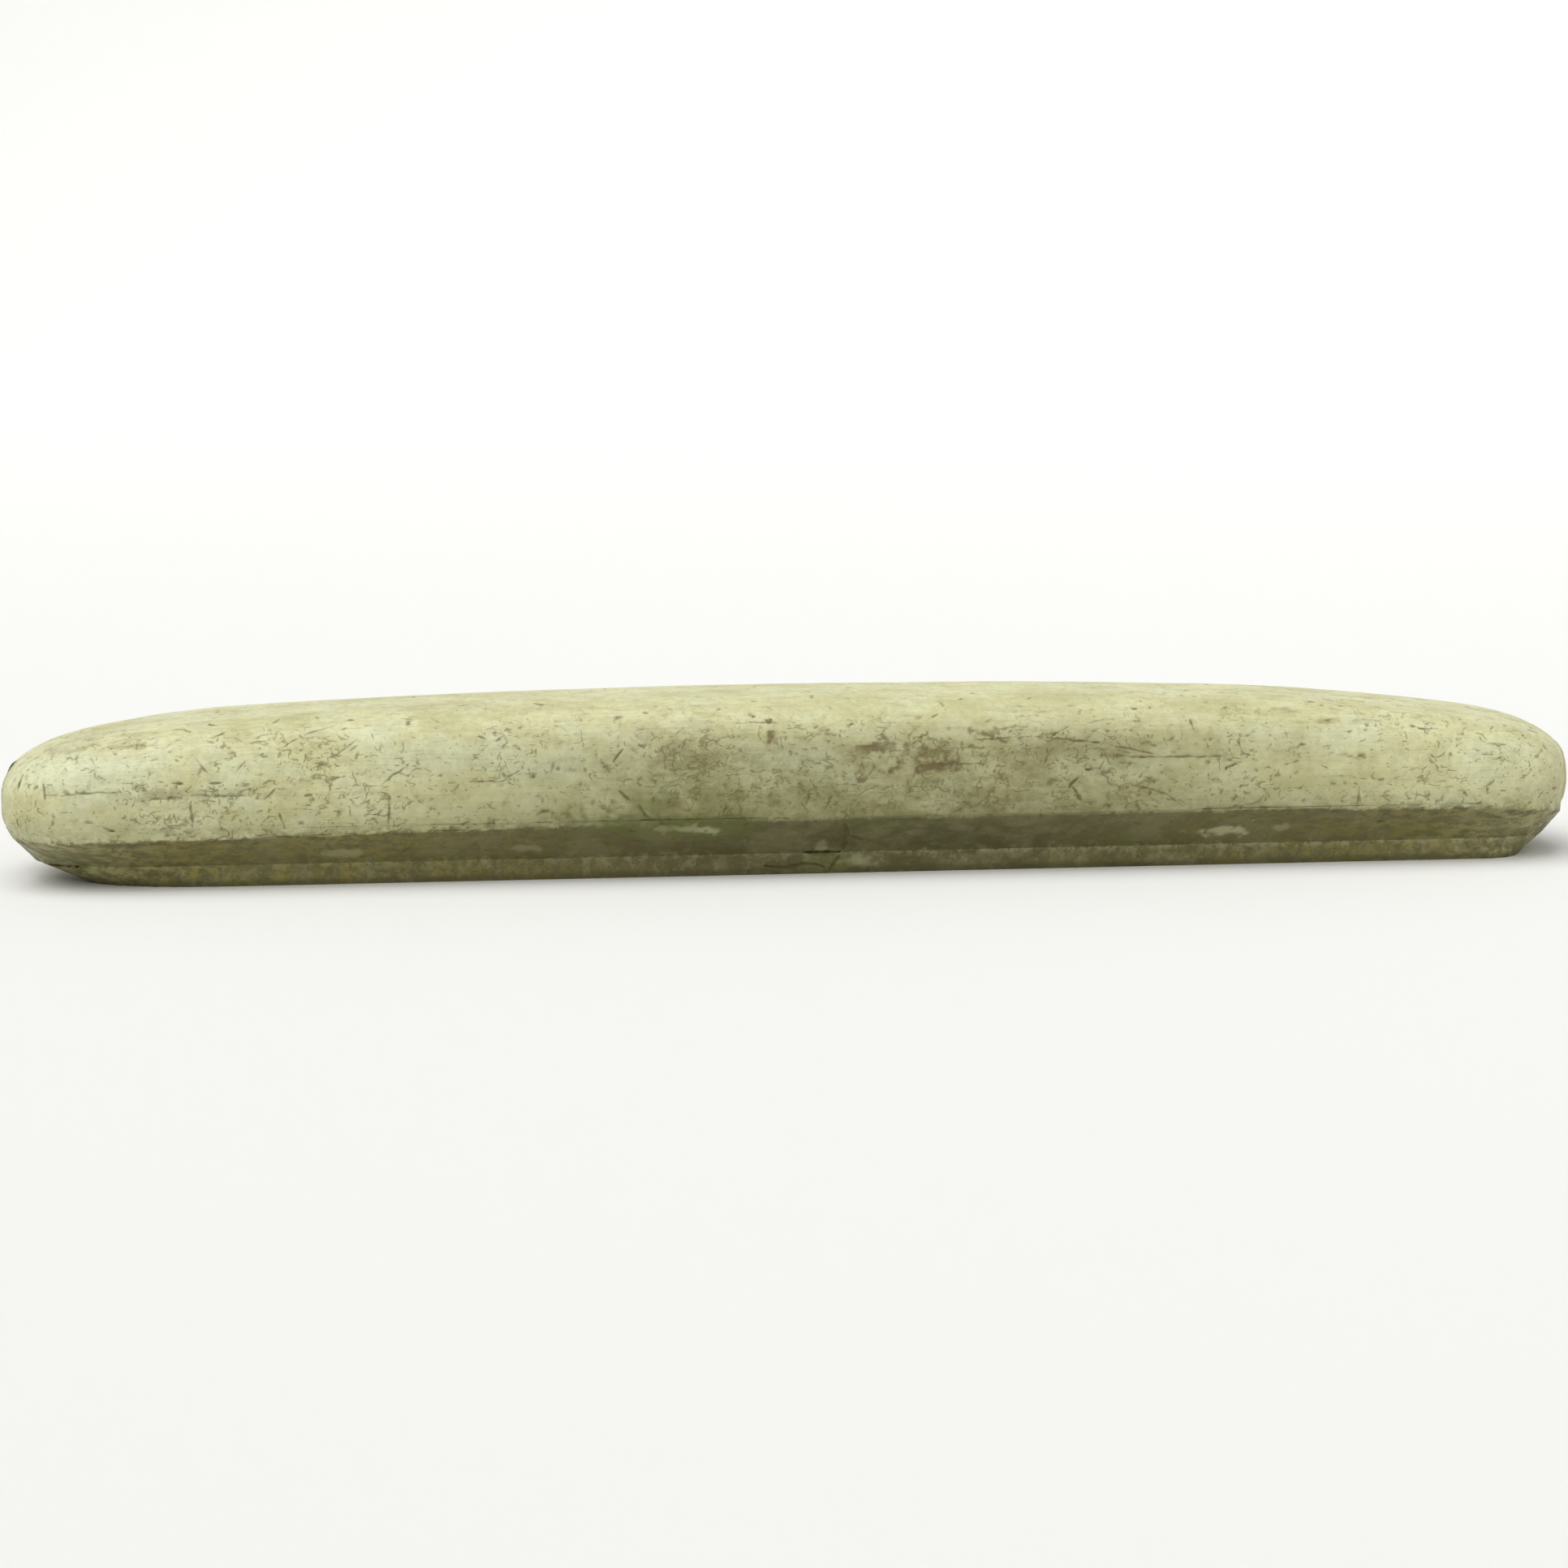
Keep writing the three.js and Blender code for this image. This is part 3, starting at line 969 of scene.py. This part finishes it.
def strokes(nodes, scale, stretch, turn, fewness, crowd):
    """A mask of short curved strokes: where one noise passes its middle, and another one is high."""
    place = nodes.stretched(stretch, turn)
    line = nodes.math("ABSOLUTE", nodes.math("SUBTRACT", nodes.noise(scale, 2, 0.5, place), 0.5))
    width = nodes.spread(nodes.noise(2.3 * scale, 2, 0.5), 0.3, 0.7, 0.012, 0.055)
    line = nodes.math("SUBTRACT", 1.0, nodes.math("DIVIDE", line, width), clamp=True)
    kept = nodes.noise(1.3 * scale, 2, 0.6, nodes.stretched(stretch, turn[::-1]))
    kept = nodes.spread(nodes.math("ADD", kept, crowd), fewness, fewness + 0.05)
    return nodes.math("MULTIPLY", line, kept)


def scuffs(nodes):
    """Strokes of three sizes that point every way, thick in some places and sparse in others."""
    crowd = nodes.math("MULTIPLY", nodes.attribute("crowd"), 0.09)
    crowd = nodes.math("ADD", crowd, nodes.spread(nodes.noise(24, 3, 0.6), 0.4, 0.62, -0.09, 0.01))
    fine = strokes(nodes, 150, (0.6, 1.3, 1.3), (0.2, 0.4, 0.1), 0.54, crowd)
    broad = strokes(nodes, 75, (0.7, 1.2, 1.2), (0.9, -0.5, 0.4), 0.55, crowd)
    steep = strokes(nodes, 110, (1.3, 0.8, 0.8), (0.4, 0.3, 1.1), 0.56, crowd)
    return nodes.math("MAXIMUM", nodes.math("MAXIMUM", fine, broad), steep)


def scaled(colour, share, warmth=0.0):
    """A colour made darker or lighter, and yellower by `warmth`."""
    red, green, blue = colour
    return (red * share, green * share * (1 - 0.1 * warmth), blue * share * (1 - warmth))


class TimberNodes(Nodes):
    """The nodes of a timber material, with the patterns that its layers share."""

    def __init__(self, name):
        super().__init__(name)
        self.cloud = self.noise(20, 4, 0.6, self.stretched((1, 1.5, 1.5)))
        self.patches = self.noise(52, 3, 0.5, self.stretched((0.7, 1.2, 1.2), (0.2, 0.1, 0.3)))
        self.mottle = self.noise(130, 4, 0.7, self.stretched((0.7, 1.3, 1.3)))
        self.streaks = self.noise(8, 5, 0.65, self.stretched((1.2, 22, 22)))
        self.fibres = self.noise(30, 3, 0.6, self.stretched((1.0, 24, 24)))
        self.along = self.position("X")
        self.up = self.position("Z")
        # Painted shade and dirt: the timber is darkest a little past mid length and lighter towards both
        # ends, so that the ends read as lit.
        darkest_along = self.math("SUBTRACT", self.along, 0.05 * LENGTH)
        self.from_middle = self.spread(self.math("ABSOLUTE", darkest_along), 0.03 * LENGTH, 0.42 * LENGTH)


def bleached_timber(nodes):
    """Pale timber with bleached and olive patches and dirt in its fibres."""
    colour = nodes.mix(nodes.spread(nodes.cloud, 0.36, 0.64), PALE, scaled(PALE, 0.86, 0.08))
    colour = nodes.mix(nodes.spread(nodes.patches, 0.48, 0.62, 0.0, 0.35), colour, BLEACHED)
    colour = nodes.mix(nodes.spread(nodes.patches, 0.34, 0.5, 0.25, 0.0), colour, OLIVE)
    colour = nodes.mix(nodes.spread(nodes.mottle, 0.5, 0.72, 0.0, 0.3), colour, OLIVE)
    colour = nodes.cover(colour, nodes.attribute("bloom"), 0.9, BLEACHED)
    colour = nodes.mix(nodes.spread(nodes.streaks, 0.4, 0.75, 0.0, 0.2), colour, OLIVE)
    return nodes.mix(nodes.spread(nodes.fibres, 0.52, 0.7, 0.0, 0.14), colour, GRIME_AND_SHADE)


def with_grime_and_shade(nodes, colour):
    """Grime and painted shade on the sides: darker below the crown, at mid length and low down, so that the
    crown and both ends read as lit.
    """
    # painted light: the crown is left pale, as if lit from above
    below_crown = nodes.spread(nodes.up, 0.66 * body_high.z, 0.98 * body_high.z, 1.0, 0.0)
    grime_and_shade = nodes.math("MULTIPLY", below_crown, nodes.spread(nodes.from_middle, 0, 1, 0.8, 0.0))
    grime_and_shade = nodes.math("MULTIPLY", grime_and_shade, nodes.spread(nodes.patches, 0.35, 0.62, 1.0, 0.8))
    grime_and_shade = nodes.math("MULTIPLY", grime_and_shade, nodes.spread(nodes.mottle, 0.35, 0.65, 1.1, 0.75))
    # painted shade, with some dirt: darker low on the side, towards the seam
    low = nodes.spread(nodes.up, SEAM_HEIGHT, 0.6 * body_high.z, 0.25, 0.0)
    return nodes.mix(nodes.math("ADD", grime_and_shade, low, clamp=True), colour, DIRT_AND_SHADE)


def with_painted_underside_shade(nodes, colour, tone):
    """The band below the arris, painted dark as shade, mottled like dirt, and painted lighter towards both
    tips.
    """
    dark = nodes.mix(nodes.from_middle, scaled(GRIME_AND_SHADE, 0.6 * tone), scaled(GRIME_AND_SHADE, 1.6 * tone))
    tip = nodes.spread(nodes.math("ABSOLUTE", nodes.along), 0.38 * LENGTH, 0.5 * LENGTH)
    dark = nodes.mix(tip, dark, scaled(OLIVE, 0.85 * tone))
    dark = nodes.mix(nodes.spread(nodes.mottle, 0.42, 0.6, 0.0, 0.8), dark, scaled(OLIVE, 0.26 * tone, 0.2))
    blotches = nodes.spread(nodes.patches, 0.45, 0.62, 0.0, 0.5)
    dark = nodes.mix(blotches, dark, scaled(OLIVE, 0.42 * tone, 0.1))
    return nodes.mix(nodes.attribute("below"), colour, dark)


def with_dirty_sole(nodes, colour):
    """Crumbly dirt and paler flakes low down, a pale line of painted highlight and wear along the sole's
    top edge, and painted shade at its bottom edge, where it meets the floor.
    """
    crumbly = nodes.noise(190, 4, 0.65)
    low_down = nodes.spread(nodes.up, SOLE_SEAM_HEIGHT, SOLE_SEAM_HEIGHT + 6 * MM, 1.0, 0.25)
    dirt = nodes.math("MULTIPLY", low_down, nodes.spread(crumbly, 0.45, 0.56))
    colour = nodes.cover(colour, dirt, 0.4, scaled(GRIME_AND_SHADE, 0.55))
    flakes = nodes.math("MULTIPLY", low_down, nodes.spread(nodes.noise(150, 3, 0.6), 0.56, 0.62))
    colour = nodes.cover(colour, flakes, 0.25, scaled(PALE, 0.5))
    # painted highlight and wear: a pale line along the top edge of the sole's upright face
    rim_highlight_and_wear = nodes.spread(nodes.up, SOLE_SEAM_HEIGHT - 4 * MM, SOLE_SEAM_HEIGHT - 0.5 * MM)
    rim_highlight_and_wear = nodes.math("MULTIPLY", rim_highlight_and_wear, nodes.math("LESS_THAN", nodes.up, SOLE_SEAM_HEIGHT))
    rim_highlight_and_wear = nodes.math("MULTIPLY", rim_highlight_and_wear, nodes.spread(crumbly, 0.4, 0.55, 0.4, 0.0))
    rim_highlight_and_wear = nodes.math("MULTIPLY", rim_highlight_and_wear, nodes.spread(nodes.along, -0.05 * LENGTH, 0.15 * LENGTH, 0.3, 1.0))
    colour = nodes.mix(rim_highlight_and_wear, colour, scaled(PALE, 0.6))
    # painted shade: the sole darkens towards the floor
    foot_shade = nodes.spread(nodes.up, 1.5 * MM, 6 * MM, 0.6, 0.0)
    return nodes.mix(foot_shade, colour, scaled(GRIME_AND_SHADE, 0.5))


def with_marks(nodes, colour, small):
    """Moss, scuffs, stains, a dirty and chipped arris, scraped spots and the cut marks."""
    colour = nodes.cover(colour, nodes.attribute("moss"), 0.7, MOSS)
    beaten = nodes.spread(nodes.up, 0.75 * body_high.z, body_high.z, 0.7, 0.12)
    colour = nodes.cover(colour, small, beaten, GRIME_AND_SHADE)
    ragged = nodes.spread(nodes.noise(260, 3, 0.6, nodes.stretched((0.6, 1.4, 1.4))), 0.3, 0.6, 0.6, 1.0)
    colour = nodes.cover(colour, nodes.attribute("stain"), ragged, STAIN)
    edge = nodes.math("MULTIPLY", nodes.attribute("arris"), nodes.spread(nodes.mottle, 0.42, 0.6))
    colour = nodes.cover(colour, edge, 0.6, scaled(GRIME_AND_SHADE, 0.7))
    colour = nodes.cover(colour, nodes.attribute("chip"), 0.4, OLIVE)
    colour = nodes.cover(colour, nodes.attribute("scrape"), 0.7, scaled(PALE, 0.7))
    colour = nodes.mix(nodes.attribute("dark"), colour, SLIT)
    return nodes.cover(colour, nodes.attribute("inside"), 0.7, scaled(STAIN, 0.8))


def timber_material(name, underside_shade_tone):
    """Old smooth timber with bleached patches, paler on its crown and ends and darker at mid length, partly
    dirt and partly painted light and shade, and painted dark as shade below the arris.
    """
    nodes = TimberNodes(name)
    small = nodes.math("MAXIMUM", nodes.math("MULTIPLY", nicks(nodes), 0.5), scuffs(nodes))
    colour = bleached_timber(nodes)
    colour = with_grime_and_shade(nodes, colour)
    colour = with_painted_underside_shade(nodes, colour, underside_shade_tone)
    colour = with_dirty_sole(nodes, colour)
    colour = with_marks(nodes, colour, small)
    roughness = nodes.spread(nodes.noise(60, 4, 0.6), 0.3, 0.7, 0.4, 0.6)
    roughness = nodes.math("ADD", roughness, nodes.math("MULTIPLY", small, 0.2))
    nodes.bump(
        (nodes.streaks, 0.2 * MM),
        (nodes.fibres, 0.1 * MM),
        (nodes.math("SUBTRACT", 1.0, small), 0.22 * MM),
        (nodes.mottle, 0.12 * MM),
    )
    nodes.shader.inputs["Specular IOR Level"].default_value = 0.4
    return nodes.finish(colour, roughness)


def turned_material():
    """Turned timber, rubbed smooth by hands, with fine rings from the tool."""
    nodes = Nodes("turned_timber")
    grain = nodes.noise(14, 5, 0.65, nodes.stretched((1.5, 26, 26)))
    colour = nodes.mix(nodes.spread(grain, 0.35, 0.7), TURNED, TURNED_GRAIN)
    rings = nodes.noise(1, 3, 0.6, nodes.stretched((1500, 4, 4)))
    cloud = nodes.noise(70, 4, 0.6)
    colour = nodes.mix(nodes.spread(cloud, 0.45, 0.7, 0, 0.5), colour, TURNED_PATINA)
    colour = nodes.cover(colour, nicks(nodes), 0.5, TURNED_NICK)
    nodes.bump((rings, 0.08 * MM), (grain, 0.15 * MM))
    return nodes.finish(colour, nodes.spread(cloud, 0.3, 0.7, 0.3, 0.5))


def cork_material():
    """Cork with darker pores and lighter crumbs."""
    nodes = Nodes("cork")
    crumbs = nodes.add("ShaderNodeTexVoronoi", feature="F1")
    nodes.link(nodes.place, crumbs.inputs["Vector"])
    crumbs.inputs["Scale"].default_value = 420
    tone = nodes.add("ShaderNodeSeparateColor")
    nodes.link(crumbs.outputs["Color"], tone.inputs[0])
    colour = nodes.mix(tone.outputs[0], CORK, CORK_CRUMB)
    pores = nodes.spread(nodes.noise(300, 3, 0.6), 0.62, 0.7)
    colour = nodes.mix(pores, colour, CORK_PORE)
    nodes.bump((crumbs.outputs["Distance"], 0.4 * MM), (nodes.math("SUBTRACT", 1.0, pores), 0.3 * MM))
    return nodes.finish(colour, nodes.spread(tone.outputs[1], 0.0, 1.0, 0.75, 0.95))


def wax_material():
    """Old beeswax, with dark specks of dirt."""
    nodes = Nodes("beeswax")
    cloud = nodes.noise(120, 4, 0.6)
    colour = nodes.mix(nodes.spread(cloud, 0.35, 0.7), WAX, OLD_WAX)
    specks = nodes.spread(nodes.noise(900, 2, 0.5), 0.68, 0.74)
    colour = nodes.cover(colour, specks, 0.7, WAX_DIRT)
    nodes.bump((cloud, 0.4 * MM), (nodes.noise(700, 3, 0.6), 0.1 * MM))
    nodes.shader.inputs["Subsurface Weight"].default_value = 0.2
    nodes.shader.inputs["Subsurface Radius"].default_value = (4 * MM, 2 * MM, 1 * MM)
    nodes.shader.inputs["Subsurface Scale"].default_value = 0.5
    return nodes.finish(colour, nodes.spread(cloud, 0.3, 0.7, 0.28, 0.45))


def dowel_material():
    """Fresh, pale dowel timber with a straight upright grain."""
    nodes = Nodes("dowel_timber")
    grain = nodes.noise(20, 5, 0.6, nodes.stretched((24, 24, 1.5)))
    colour = nodes.mix(nodes.spread(grain, 0.35, 0.7), DOWEL, DOWEL_GRAIN)
    pores = nodes.spread(nodes.noise(60, 2, 0.5, nodes.stretched((30, 30, 1))), 0.62, 0.72)
    colour = nodes.cover(colour, pores, 0.6, DOWEL_PORE)
    nodes.bump((grain, 0.15 * MM), (pores, 0.1 * MM))
    return nodes.finish(colour, nodes.spread(grain, 0.3, 0.7, 0.5, 0.7))


# ---------- turned pieces ----------

def turned_skin(node, name, ripple, size, seed):
    """The finished skin of a turned piece: `ripple` and `size` are its unevenness's height and length."""
    skin = remeshed(node, name, TURNED_VOXEL)
    drawn_on(skin, node, TURNED_VOXEL)
    mesh = skin.data
    points = coordinates(mesh)
    lift = ripple * (noise(points, size, seed) + 0.5 * noise(points, size / 3, seed + 1) - 1)
    points = points + normals(mesh) * lift[:, None]
    set_coordinates(mesh, points)
    shade_smooth(skin)
    return skin


# ---------- the object ----------

marks = all_marks()
looks = {
    "upper_shell": timber_material("pale_timber", 1.0),
    "lower_shell": timber_material("shaded_timber", 1.0),
    # the sole's band is painted 1.25 times lighter than the chamfer's, as the light that its upright face
    # catches
    "sole_board": timber_material("sole_timber", 1.25),
    "mouthpiece": turned_material(),
    "cork_sleeve": cork_material(),
    "wax_rim": wax_material(),
}

skins = {}
for node in TIMBERS:
    skins[node] = timber_skin(node, node + "_skin", marks)
skins["mouthpiece"] = turned_skin("mouthpiece", "mouthpiece_skin", 0.03 * MM, 12 * MM, seed=50)
skins["cork_sleeve"] = turned_skin("cork_sleeve", "cork_sleeve_skin", 0.05 * MM, 3 * MM, seed=60)
skins["wax_rim"] = turned_skin("wax_rim", "wax_rim_skin", 0.14 * MM, 9 * MM, seed=70)

body_of = {node: body for body, nodes in frame["record"]["behaviour"]["bodies"].items() for node in nodes}
for node, skin in skins.items():
    skin.data.materials.clear()
    skin.data.materials.append(looks[node])
    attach(skin, body_of[node])
    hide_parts(node)

dowel_look = dowel_material()
for node, piece in frame["nodes"].items():
    if node not in skins:
        for slot in piece.material_slots:
            slot.material = dowel_look


# ---------- floor and light ----------

FLAT_RADIUS = 5.0
SWEEP_RADIUS = 2.0
WALL_HEIGHT = 2.5
FLOOR_SIDES = 96
SWEEP_STEPS = 12


def floor_profile():
    """Radius and height of the floor's rings: flat, then curving up into a wall."""
    profile = [(0.01, 0.0), (FLAT_RADIUS, 0.0)]
    for step in range(1, SWEEP_STEPS + 1):
        angle = math.pi / 2 * step / SWEEP_STEPS
        profile.append((FLAT_RADIUS + SWEEP_RADIUS * math.sin(angle), SWEEP_RADIUS * (1 - math.cos(angle))))
    profile.append((FLAT_RADIUS + SWEEP_RADIUS, SWEEP_RADIUS + WALL_HEIGHT))
    return profile


def make_floor():
    """A round floor whose edge curves up all the way round, like a studio sweep."""
    mesh = bmesh.new()
    rings = []
    turns = [2 * math.pi * side / FLOOR_SIDES for side in range(FLOOR_SIDES)]
    for radius, height in floor_profile():
        rings.append([mesh.verts.new((radius * math.cos(t), radius * math.sin(t), height)) for t in turns])
    mesh.faces.new(rings[0])
    for inner, outer in zip(rings, rings[1:]):
        for side in range(FLOOR_SIDES):
            after = (side + 1) % FLOOR_SIDES
            mesh.faces.new((inner[side], outer[side], outer[after], inner[after]))
    data = bpy.data.meshes.new("floor")
    mesh.to_mesh(data)
    mesh.free()
    floor = bpy.data.objects.new("floor", data)
    floor.location.z = -0.02 * MM  # just clear of the sole
    bpy.context.scene.collection.objects.link(floor)
    shade_smooth(floor)
    nodes = Nodes("floor")
    nodes.finish((*FLOOR, 1), 0.9)
    nodes.shader.inputs["Specular IOR Level"].default_value = 0.1
    data.materials.append(nodes.material)


def add_sun(name, towards, spread, strength):
    """A soft sun that stands in the direction `towards`."""
    data = bpy.data.lights.new(name, "SUN")
    data.angle = math.radians(spread)
    data.energy = strength
    sun = bpy.data.objects.new(name, data)
    sun.rotation_euler = (-Vector(towards)).to_track_quat("-Z", "Y").to_euler()
    bpy.context.scene.collection.objects.link(sun)


def make_world():
    world = bpy.data.worlds.new("studio")
    world.use_nodes = True
    background = world.node_tree.nodes["Background"]
    background.inputs["Color"].default_value = (1, 1, 0.98, 1)
    background.inputs["Strength"].default_value = 0.42
    bpy.context.scene.world = world


make_floor()
make_world()
add_sun("key", towards=(-0.35, -0.12, 1.0), spread=60, strength=1.9)
add_sun("fill", towards=(-0.35, -1.0, 0.5), spread=70, strength=1.6)
bpy.context.scene.view_settings.view_transform = "Standard"
